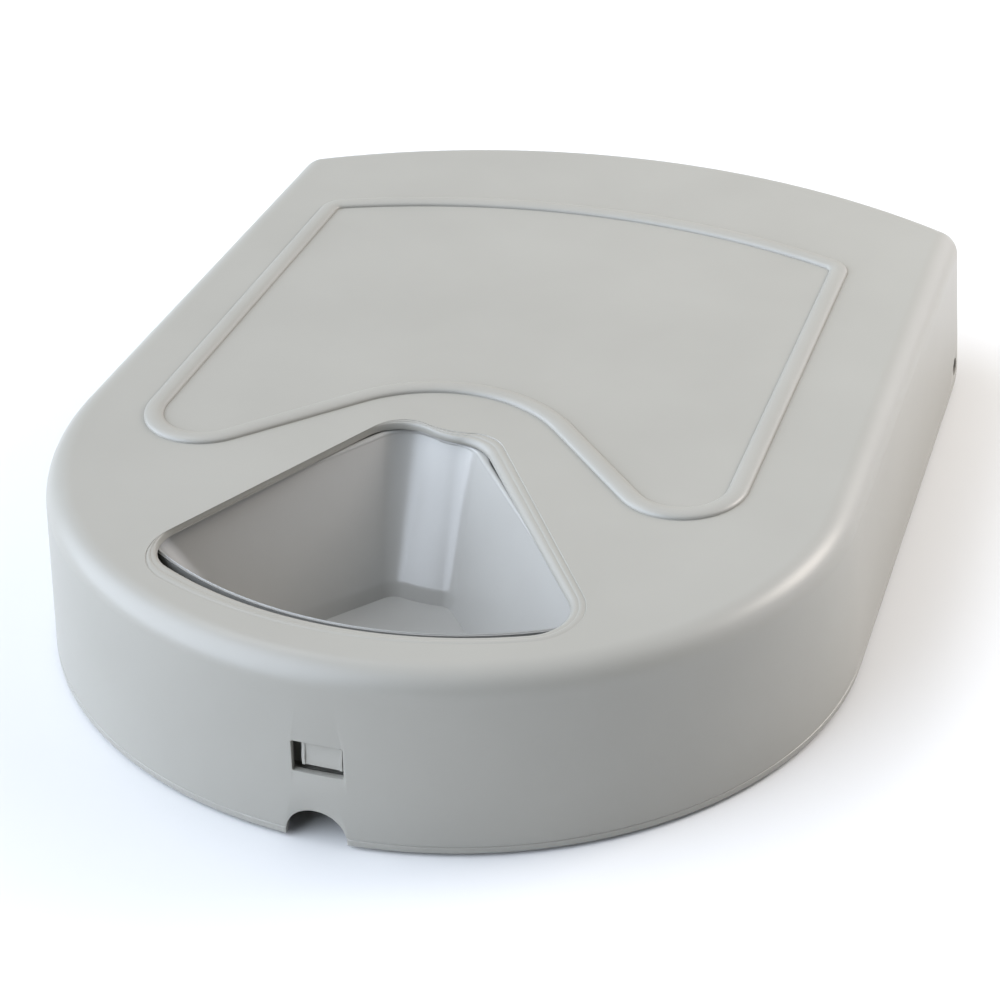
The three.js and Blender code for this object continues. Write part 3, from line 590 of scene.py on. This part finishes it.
def makeTray():
    t = tray
    top = t["top"]
    wall = t["wall"]
    reach = t["radius"]
    low = reach - t["lean"]
    shell = lathed("tray_moulding", [
        (low - 0.4, t["low"]), (low, t["low"] + 0.4), (reach, top - 1.6), (reach - 0.12, top - 0.9),
        (reach - 0.45, top - 0.35), (reach - 1.0, top - 0.05), (reach - 1.5, top)], 0, hubY, 160)
    space = lathed("cutSpace", [(low - wall, t["low"] - 1), (reach - wall, top - wall - 0.4),
                                (reach - wall - 0.4, top - wall)], 0, hubY, 160)
    cutWith(shell, [space])
    sleeve = lathed("sleeve", [(t["hollow"] + wall - 0.4, t["low"]), (t["hollow"] + wall, t["low"] + 0.4),
                               (t["hollow"] + wall, top - 0.5)], 0, hubY)
    bowls = [sleeve]
    cuts = []
    r = t["rim"]
    k = t["knuckle"]
    height = top - r - t["floor"] - k
    for n in range(t["bowls"]):
        turn = n * 2 * pi / t["bowls"]
        bowls.append(bowlSolid("bowlWall", turn, [
            (0.0, -1.4, top - 0.7), (1.0, -wall, t["floor"] + k),
            (1.0, -0.9, t["low"] + 0.7), (1.0, 0.3, t["low"])]))
        inside = [(0.0, -r - 0.3, top + 4), (0.0, -r - 0.3, top)]
        for i in range(1, 8):
            a = pi / 2 * i / 7
            inside.append((0.0, -r * (1 - sin(a)), top - r * (1 - cos(a))))
        inside += [(i / 6, 0.0, top - r - height * i / 6) for i in range(1, 6)]
        # The wall leans into the bowl, so its fillet starts part of the way round
        start = radians(36)
        for i in range(7):
            a = start + (pi / 2 - start) * i / 6
            inside.append((1.0, k * (sin(a) - sin(start)), t["floor"] + k * (1 - sin(a)) / (1 - sin(start))))
        cuts.append(bowlSolid("cutBowl", turn, inside))
    cutWith(shell, bowls, "UNION")
    hollow = lathed("cutHollow", [(t["hollow"], t["low"] - 1), (t["hollow"], top - 8.6),
                                  (t["hollow"] - 0.6, top - 8)], 0, hubY)
    socket = lathed("cutSocket", [(t["socket"], top - 9), (t["socket"], top - 3)], 0, hubY, 6)
    dish = lathed("cutDish", [
        (1.0, top - 1.2), (6.0, top - 1.15), (12.0, top - 0.95), (t["knob"] - 1.6, top - 0.6),
        (t["knob"] - 0.8, top - 0.2), (t["knob"], top), (t["knob"], top + 1)], 0, hubY, 64)
    cutWith(shell, cuts + [hollow, socket, dish])
    shell.data.materials.clear()
    shell.data.materials.append(trayPlastic)
    settle(shell)
    return shell


trayMoulding = makeTray()
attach(trayMoulding, "tray_body")
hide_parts("food_tray")
print("tray done", len(trayMoulding.data.polygons))


def place(piece, bodyName, slotName, *nodes):
    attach(piece, bodyName)
    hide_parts(*nodes)


def softened(nodeName, name, material, round, steps=2, sharpest=40):
    # A merged copy of a machined piece with its edges broken, as a mould leaves them
    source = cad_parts[nodeName]
    bm = bmesh.new()
    bm.from_mesh(source.data)
    bmesh.ops.remove_doubles(bm, verts=bm.verts, dist=0.003 * mm)
    bmesh.ops.dissolve_limit(bm, angle_limit=radians(0.6), verts=bm.verts, edges=bm.edges)
    edges = [e for e in bm.edges if len(e.link_faces) == 2 and e.calc_face_angle(0) > radians(sharpest)]
    if round:
        bmesh.ops.bevel(bm, geom=edges, offset=round * mm, segments=steps, profile=0.6,
                        affect="EDGES", clamp_overlap=True)
    bmesh.ops.triangulate(bm, faces=[f for f in bm.faces if len(f.verts) > 4])
    mesh = bpy.data.meshes.new(name)
    bm.to_mesh(mesh)
    bm.free()
    made = bpy.data.objects.new(name, mesh)
    bpy.context.scene.collection.objects.link(made)
    mesh.materials.append(material)
    settle(made)
    return made


# Housing pieces whose edges are rounded by the mould, in millimetres
housing = {
    "base": ("base_shell", "base_body", "shell_plastic", 0.9),
    "bottom_cover": ("cover_plate", "base_body", "cover_plastic", 0.4),
    "battery_door": ("door_plate", "door_body", "cover_plastic", 0.35),
    "control_panel": ("panel_plate", "base_body", "dark_plastic", 0.3),
}
housingFinish = {"shell_plastic": shellPlastic, "cover_plastic": coverPlastic, "dark_plastic": darkPlastic}
for nodeName, (name, bodyName, slotName, round) in housing.items():
    piece = softened(nodeName, name, housingFinish[slotName], round)
    place(piece, bodyName, slotName, nodeName)
    print(nodeName, "done", len(piece.data.polygons))

# Latch tab: a ramped tongue between two side ribs, with a round nose, on its plate
latch = {
    "x": 3.35, "width": 14.2, "low": 31.3, "height": 8.6, "deep": 3.4, "lip": 1.9, "rib": 1.1,
    "plateWidth": 17.0, "plateThick": 1.6,
}


def makeLatch():
    t = latch
    face = skirtFrontY + body["lean"] * 34.4 / wallTop + 0.4
    h = t["height"]

    def tongue(name, width, x, start, top, nose):
        side = [(0.0 + start, 0.0), (t["deep"], 0.0), (t["deep"] + 0.5, h), (t["lip"], h)]
        side += [(t["lip"] - 0.35, h - 0.1), (t["lip"] - 0.6 + nose, h - 0.5)]
        side += [(start + 0.1, top), (start, top - 0.5)]
        points = [(face + y, t["low"] + z) for y, z in side]
        return prism(name, points, x - width / 2, x + width / 2, "x")
    tab = tongue("latch_tab", t["width"] - 2 * t["rib"] + 0.2, t["x"], 0.35, 2.0, 0.0)
    ribs = [tongue("latchRib", t["rib"], t["x"] + side * (t["width"] - t["rib"]) / 2, 0.0, 3.4, -0.2)
            for side in (-1, 1)]
    plate = roundedRectangle(t["x"], t["low"] + (h - 1.5) / 2, t["plateWidth"], h + 3.5, 1.2)
    back = prism("latchPlate", plate, face + t["deep"], face + t["deep"] + t["plateThick"], "y")
    cutWith(tab, ribs + [back], "UNION")
    bm = bmesh.new()
    bm.from_mesh(tab.data)
    bmesh.ops.remove_doubles(bm, verts=bm.verts, dist=0.003 * mm)
    bmesh.ops.dissolve_limit(bm, angle_limit=radians(0.6), verts=bm.verts, edges=bm.edges)
    edges = [e for e in bm.edges if len(e.link_faces) == 2 and e.calc_face_angle(0) > radians(30)]
    bmesh.ops.bevel(bm, geom=edges, offset=0.22 * mm, segments=2, profile=0.6,
                    affect="EDGES", clamp_overlap=True)
    bm.to_mesh(tab.data)
    bm.free()
    tab.data.materials.clear()
    tab.data.materials.append(shellPlastic)
    settle(tab)
    return tab


latchTab = makeLatch()
place(latchTab, "latch_body", "shell_plastic", "latch")
print("latch done")

# Hinge pins: chamfered steel with a shallow centre mark in the end that shows
pin = {"radius": 3.6, "inside": 138.0, "outside": 151.6, "head": 4.3, "headThick": 2.0, "chamfer": 0.5}


def turnedAlongX(name, profile, y, z, material, count=48):
    # profile runs along x as pairs of x and radius, closed by small end discs
    bm = bmesh.new()
    rings = [[bm.verts.new((x * mm, (y + radius * cos(2 * pi * i / count)) * mm,
                            (z + radius * sin(2 * pi * i / count)) * mm)) for i in range(count)]
             for x, radius in profile]
    for a, b in zip(rings, rings[1:]):
        bridge(bm, a, b)
    bm.faces.new(rings[0])
    bm.faces.new(rings[-1])
    return makeObject(name, bm, material)


for side, nodeName in ((-1, "hinge_pin_left"), (1, "hinge_pin_right")):
    p = pin
    c = p["chamfer"]
    profile = [(p["inside"] - p["headThick"], p["head"] - c), (p["inside"] - p["headThick"] + c, p["head"]),
               (p["inside"] - 0.15, p["head"]), (p["inside"], p["head"] - 0.15), (p["inside"], p["radius"]),
               (p["outside"] - c, p["radius"]), (p["outside"] - 0.12, p["radius"] - 0.3),
               (p["outside"], p["radius"] - c - 0.3),
               (p["outside"], 1.3), (p["outside"] - 0.7, 0.3)]
    profile = [(side * x, radius) for x, radius in profile]
    made = turnedAlongX(nodeName + "_turned", profile, hingeY, hingeZ, steel)
    place(made, "base_body", "steel", nodeName)
print("hinge pins done")

# Keys: domed caps with a dished top and a flange under the panel
key = {
    "radius": 5.5, "top": 51.25, "flange": 6.7, "low": 46.35, "round": 0.9,
    "spots": ((14, 8), (32, 8), (14, -8), (32, -8)),
}
for n, (x, y) in enumerate(key["spots"], 1):
    top = key["top"]
    r = key["radius"]
    flange = key["flange"]
    low = key["low"]
    profile = [(flange - 0.2, low), (flange, low + 0.2), (flange, low + 1.1), (flange - 0.2, low + 1.3),
               (r, low + 1.3), (r - 0.1, top - 1.6)]
    for i in range(6):
        a = pi / 2 * i / 5
        profile.append((r - 0.2 - key["round"] * (1 - cos(a)), top - key["round"] + key["round"] * sin(a)))
    profile += [(r - 2.0, top - 0.06), (r - 3.0, top - 0.28), (r - 4.2, top - 0.42), (0.6, top - 0.46)]
    made = lathed("key_cap_%d" % n, profile, x, cellY + y, 48)
    made.data.materials.append(keyPlastic)
    settle(made)
    place(made, "button_%d_body" % n, "key_plastic", "button_%d" % n)
print("keys done")


def repeatTree(name, material):
    # Puts a copy of one piece on every point, at a size and a turn
    tree = bpy.data.node_groups.new(name, "GeometryNodeTree")
    tree.interface.new_socket("Geometry", in_out="INPUT", socket_type="NodeSocketGeometry")
    tree.interface.new_socket("Piece", in_out="INPUT", socket_type="NodeSocketObject")
    scale = tree.interface.new_socket("Size", in_out="INPUT", socket_type="NodeSocketFloat")
    scale.default_value = 1.0
    tree.interface.new_socket("Turn", in_out="INPUT", socket_type="NodeSocketFloat")
    spread = tree.interface.new_socket("Turn Spread", in_out="INPUT", socket_type="NodeSocketFloat")
    spread.default_value = 0.0
    tree.interface.new_socket("Geometry", in_out="OUTPUT", socket_type="NodeSocketGeometry")
    source = addNode(tree, "NodeGroupInput")
    result = addNode(tree, "NodeGroupOutput")
    info = addNode(tree, "GeometryNodeObjectInfo", transform_space="ORIGINAL")
    random = addNode(tree, "FunctionNodeRandomValue", data_type="FLOAT")
    random.inputs["Seed"].default_value = 7
    total = addNode(tree, "ShaderNodeMath", operation="ADD")
    angle = addNode(tree, "ShaderNodeCombineXYZ")
    spreadOut = addNode(tree, "GeometryNodeInstanceOnPoints")
    real = addNode(tree, "GeometryNodeRealizeInstances")
    finish = addNode(tree, "GeometryNodeSetMaterial")
    finish.inputs["Material"].default_value = material
    link = tree.links.new
    link(source.outputs["Geometry"], spreadOut.inputs["Points"])
    link(source.outputs["Piece"], info.inputs["Object"])
    link(info.outputs["Geometry"], spreadOut.inputs["Instance"])
    link(source.outputs["Turn Spread"], random.inputs[3])
    link(random.outputs[1], total.inputs[0])
    link(source.outputs["Turn"], total.inputs[1])
    link(total.outputs[0], angle.inputs["Z"])
    link(angle.outputs[0], spreadOut.inputs["Rotation"])
    link(source.outputs["Size"], spreadOut.inputs["Scale"])
    link(spreadOut.outputs["Instances"], real.inputs["Geometry"])
    link(real.outputs["Geometry"], finish.inputs["Geometry"])
    link(finish.outputs["Geometry"], result.inputs["Geometry"])
    return tree


def repeated(name, points, piece, material, size=1.0, turn=0.0, spread=0.0):
    # points in millimetres; the piece is modelled round the origin and removed afterwards
    mesh = bpy.data.meshes.new(name)
    mesh.from_pydata([(x * mm, y * mm, z * mm) for x, y, z in points], [], [])
    made = bpy.data.objects.new(name, mesh)
    bpy.context.scene.collection.objects.link(made)
    tree = repeatTree(name + "Tree", material)
    step = made.modifiers.new("repeat", "NODES")
    step.node_group = tree
    sockets = {item.name: item.identifier for item in tree.interface.items_tree if item.in_out == "INPUT"}
    step[sockets["Piece"]] = piece
    step[sockets["Size"]] = size
    step[sockets["Turn"]] = turn
    step[sockets["Turn Spread"]] = spread
    bpy.context.view_layer.update()
    done = bpy.data.meshes.new_from_object(made.evaluated_get(bpy.context.evaluated_depsgraph_get()))
    made.modifiers.clear()
    made.data = done
    bpy.data.objects.remove(piece)
    if not done.materials:
        done.materials.append(material)
    return made


# Screws that hold the bottom cover, all with the same cross recess
screw = {
    "spots": ((-118, -75), (118, -75), (-132, 70), (132, 70), (-60, 113), (60, 113)),
    "head": 3.0, "headLow": 2.1, "headHigh": 3.0, "stem": 1.4, "stemTop": 11.2,
    "recess": 3.6, "recessWidth": 0.8, "recessDepth": 0.55, "panelX": 67,
    "panelHeadLow": 51.55, "panelHeadHigh": 50.4, "panelStemEnd": 46.8,
}


def makeScrew(name, low, high, stemEnd, down=True):
    # Head with a round edge, a cross recess and a plain stem; built round the origin
    t = screw
    flip = 1 if down else -1
    head = t["head"]
    profile = [(head - 0.9, low), (head - 0.35, low + 0.08 * flip), (head - 0.06, low + 0.3 * flip),
               (head, low + 0.55 * flip), (head, high), (t["stem"], high),
               (t["stem"], stemEnd - 0.5 * flip), (t["stem"] - 0.5, stemEnd)]
    made = lathed(name, profile, 0, 0, 28)
    bars = []
    start = low - flip
    end = low + t["recessDepth"] * flip
    for width, depth in ((t["recess"], t["recessWidth"]), (t["recessWidth"], t["recess"])):
        w = width / 2
        d = depth / 2
        outline = [(-w, -d), (w, -d), (w, d), (-w, d)]
        bars.append(prism("cutBar", outline, min(start, end), max(start, end)))
    cutWith(made, bars)
    return made


blank = makeScrew("screwBlank", screw["headLow"], screw["headHigh"], screw["stemTop"])
coverScrews = repeated("cover_screws", [(x, y, 0) for x, y in screw["spots"]], blank, steel, 1.0, 0.3, 1.2)
settle(coverScrews)
place(coverScrews, "base_body", "steel", *["cover_screw_%d" % n for n in range(1, 7)])
blank = makeScrew("screwBlank", screw["panelHeadLow"], screw["panelHeadHigh"], screw["panelStemEnd"], False)
panelScrews = repeated("panel_screws", [(side * screw["panelX"], cellY, 0) for side in (-1, 1)],
                       blank, steel, 1.0, 0.6, 0.8)
settle(panelScrews)
place(panelScrews, "base_body", "steel", "panel_screw_1", "panel_screw_2")

# Feet: ribbed rubber pads
foot = {"spots": ((-112, -90), (112, -90), (-134, 110), (134, 110)), "radius": 7.4, "high": 1.98}
padProfile = [(1.2, 0.0), (1.5, 0.3), (2.0, 0.3), (2.3, 0.0), (3.9, 0.0), (4.2, 0.3), (4.7, 0.3), (5.0, 0.0),
              (6.2, 0.0), (6.9, 0.2), (7.3, 0.6), (7.4, 1.0), (7.4, foot["high"])]
pads = repeated("rubber_feet", [(x, y, 0) for x, y in foot["spots"]],
                lathed("padBlank", padProfile, 0, 0, 40), footRubber)
settle(pads)
place(pads, "base_body", "foot_rubber", *["foot_%d" % n for n in range(1, 5)])
print("screws and feet done")

finishes = {
    "hinge_pin": steel, "cover_screw": steel, "panel_screw": steel, "foot": footRubber,
    "battery_cell": cellJacket, "contact": springSteel, "drive_hub": gearPlastic, "hub_gear": gearPlastic,
    "idler_gear": gearPlastic, "hub_bushing": brass, "motor_pinion": brass, "idler_axle": steel,
    "gear_motor": steel, "index_sensor": darkPlastic, "control_panel": darkPlastic,
    "display_window": clearPlastic, "circuit_board": boardGreen, "lcd_module": screenGlass,
    "button": keyPlastic, "latch_spring": springSteel, "latch": shellPlastic,
    "base": shellPlastic, "bottom_cover": coverPlastic, "battery_door": coverPlastic,
    "lid": shellPlastic, "food_tray": trayPlastic,
}
for name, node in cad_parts.items():
    match = max((word for word in finishes if name.startswith(word)), key=len)
    node.data.materials.clear()
    node.data.materials.append(finishes[match])


# Matt paper sweep: pale and even, so it throws soft light back up at the walls
floorMaterial, tree, shader = newMaterial("pale paper sweep", 0.95)
mottle(tree, shader, ("D8D8D7", "DBDBDA"), 400)
bm = bmesh.new()
corners = [bm.verts.new((x, y, 0)) for x, y in ((-15, -15), (15, -15), (15, 15), (-15, 15))]
bm.faces.new(corners)
floor = makeObject("floor", bm, floorMaterial)

# The room: each lobe is a direction, where it fades in and out in degrees, a colour and its strength
room = {
    "horizon": ("EFEDE8", 0.70),
    "zenith": ("FDFDFC", 0.76),
    "lobes": [
        ((0.80, -1.0, -0.02), 84, 50, "E8D8C4", 0.02),
        ((-1.0, -0.55, 0.50), 52, 26, "E2ECFB", 5.6),
        ((0.95, 0.75, 0.30), 52, 26, "F4F6FF", 2.2),
    ],
}


def makeRoom():
    world = bpy.data.worlds.new("studio")
    world.use_nodes = True
    tree = world.node_tree
    backdrop = tree.nodes["Background"]
    coord = addNode(tree, "ShaderNodeTexCoord")

    def lit(code, strength):
        return tuple(c * strength for c in hexColour(code)[:3]) + (1.0,)

    def facing(direction, outer, inner):
        dot = addNode(tree, "ShaderNodeVectorMath", operation="DOT_PRODUCT")
        dot.inputs[1].default_value = Vector(direction).normalized()
        tree.links.new(coord.outputs["Generated"], dot.inputs[0])
        fade = addNode(tree, "ShaderNodeMapRange", {"From Min": outer, "From Max": inner},
                       interpolation_type="SMOOTHSTEP")
        tree.links.new(dot.outputs["Value"], fade.inputs["Value"])
        return fade.outputs["Result"]

    def blend(factor, base, colour):
        mix = addNode(tree, "ShaderNodeMix", data_type="RGBA")
        tree.links.new(factor, mix.inputs[0])
        if isinstance(base, tuple):
            mix.inputs[6].default_value = base
        else:
            tree.links.new(base, mix.inputs[6])
        mix.inputs[7].default_value = colour
        return mix.outputs[2]
    colour = blend(facing((0, 0, 1), 0.12, 0.75), lit(*room["horizon"]), lit(*room["zenith"]))
    for direction, outer, inner, code, strength in room["lobes"]:
        shape = facing(direction, cos(radians(outer)), cos(radians(inner)))
        colour = blend(shape, colour, lit(code, strength))
    tree.links.new(colour, backdrop.inputs["Color"])
    bpy.context.scene.world = world
    bpy.context.scene.view_settings.view_transform = "Standard"


makeRoom()


def areaLight(name, spot, aim, size, power, colour="FFFFFF"):
    data = bpy.data.lights.new(name, "AREA")
    data.shape = "RECTANGLE"
    data.size, data.size_y = size
    data.energy = power
    data.color = hexColour(colour)[:3]
    lamp = bpy.data.objects.new(name, data)
    lamp.location = spot
    lamp.rotation_euler = (Vector(aim) - Vector(spot)).to_track_quat("-Z", "Y").to_euler()
    bpy.context.scene.collection.objects.link(lamp)
    return lamp


# A small softbox gives the crisp streaks on the rounded edges, and a warmer one lifts the right side
areaLight("streakLight", (-0.75, 0.35, 1.5), (0, 0, 0.05), (0.5, 0.5), 3.0, "F6FAFF")
areaLight("warmLight", (0.72, 0.42, 0.60), (0.03, 0.03, 0.05), (0.4, 0.4), 5.4, "FFF6EC")

view = {"azimuth": 19.637, "elevation": 33.0, "roll": -1.97, "distance": 955.8,
        "aimX": -7.32, "aimY": 70.9, "aimZ": 1.5, "lens": 84.96}


def makeCamera():
    az, el, roll = (radians(view[k]) for k in ("azimuth", "elevation", "roll"))
    back = Vector((sin(az) * cos(el), -cos(az) * cos(el), sin(el)))
    right = Vector((0, 0, 1)).cross(back).normalized()
    up = back.cross(right)
    tilted = cos(roll) * right + sin(roll) * up
    raised = -sin(roll) * right + cos(roll) * up
    aim = Vector((view["aimX"], view["aimY"] - centreY, view["aimZ"])) * mm
    data = bpy.data.cameras.new("camera")
    data.lens = view["lens"]
    data.sensor_width = 36
    data.clip_end = 50
    camera = bpy.data.objects.new("camera", data)
    turn = Matrix((tilted, raised, back)).transposed()
    camera.matrix_world = Matrix.Translation(aim + back * view["distance"] * mm) @ turn.to_4x4()
    bpy.context.scene.collection.objects.link(camera)
    bpy.context.scene.camera = camera


makeCamera()

print("scene done")
